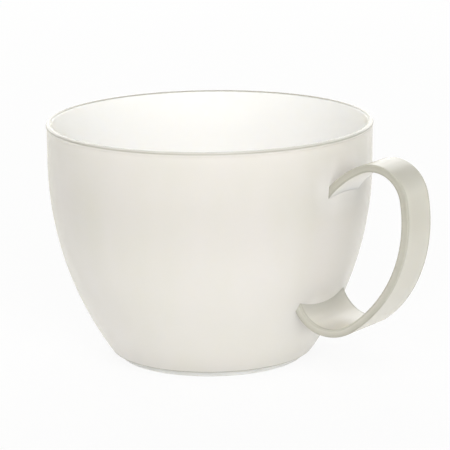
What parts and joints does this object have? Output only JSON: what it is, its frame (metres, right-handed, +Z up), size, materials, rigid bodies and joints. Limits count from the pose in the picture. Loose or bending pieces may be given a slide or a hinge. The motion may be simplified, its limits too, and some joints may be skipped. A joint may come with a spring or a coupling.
{
  "type": "mug",
  "caption": "Wide moulded plastic mug with a rounded lip, a curved bowl, a bent strap handle and a ring foot, for hot or cold drinks.",
  "frame": {"origin": "centre of the ring foot's underside, on the cup's axis, at table level", "axes": "+Z up along the cup's axis, +X from the axis towards the handle"},
  "size_m": [0.1318, 0.105, 0.077],
  "materials": {
    "cup_plastic": "satin milky polypropylene, slightly translucent",
    "handle_plastic": "satin milky polypropylene, slightly translucent",
    "foot_plastic": "satin milky polypropylene, slightly translucent"
  },
  "bodies": {
    "root": {"cup_body": "cup_plastic", "handle_strap": "handle_plastic", "foot_ring": "foot_plastic"}
  },
  "joints": []
}
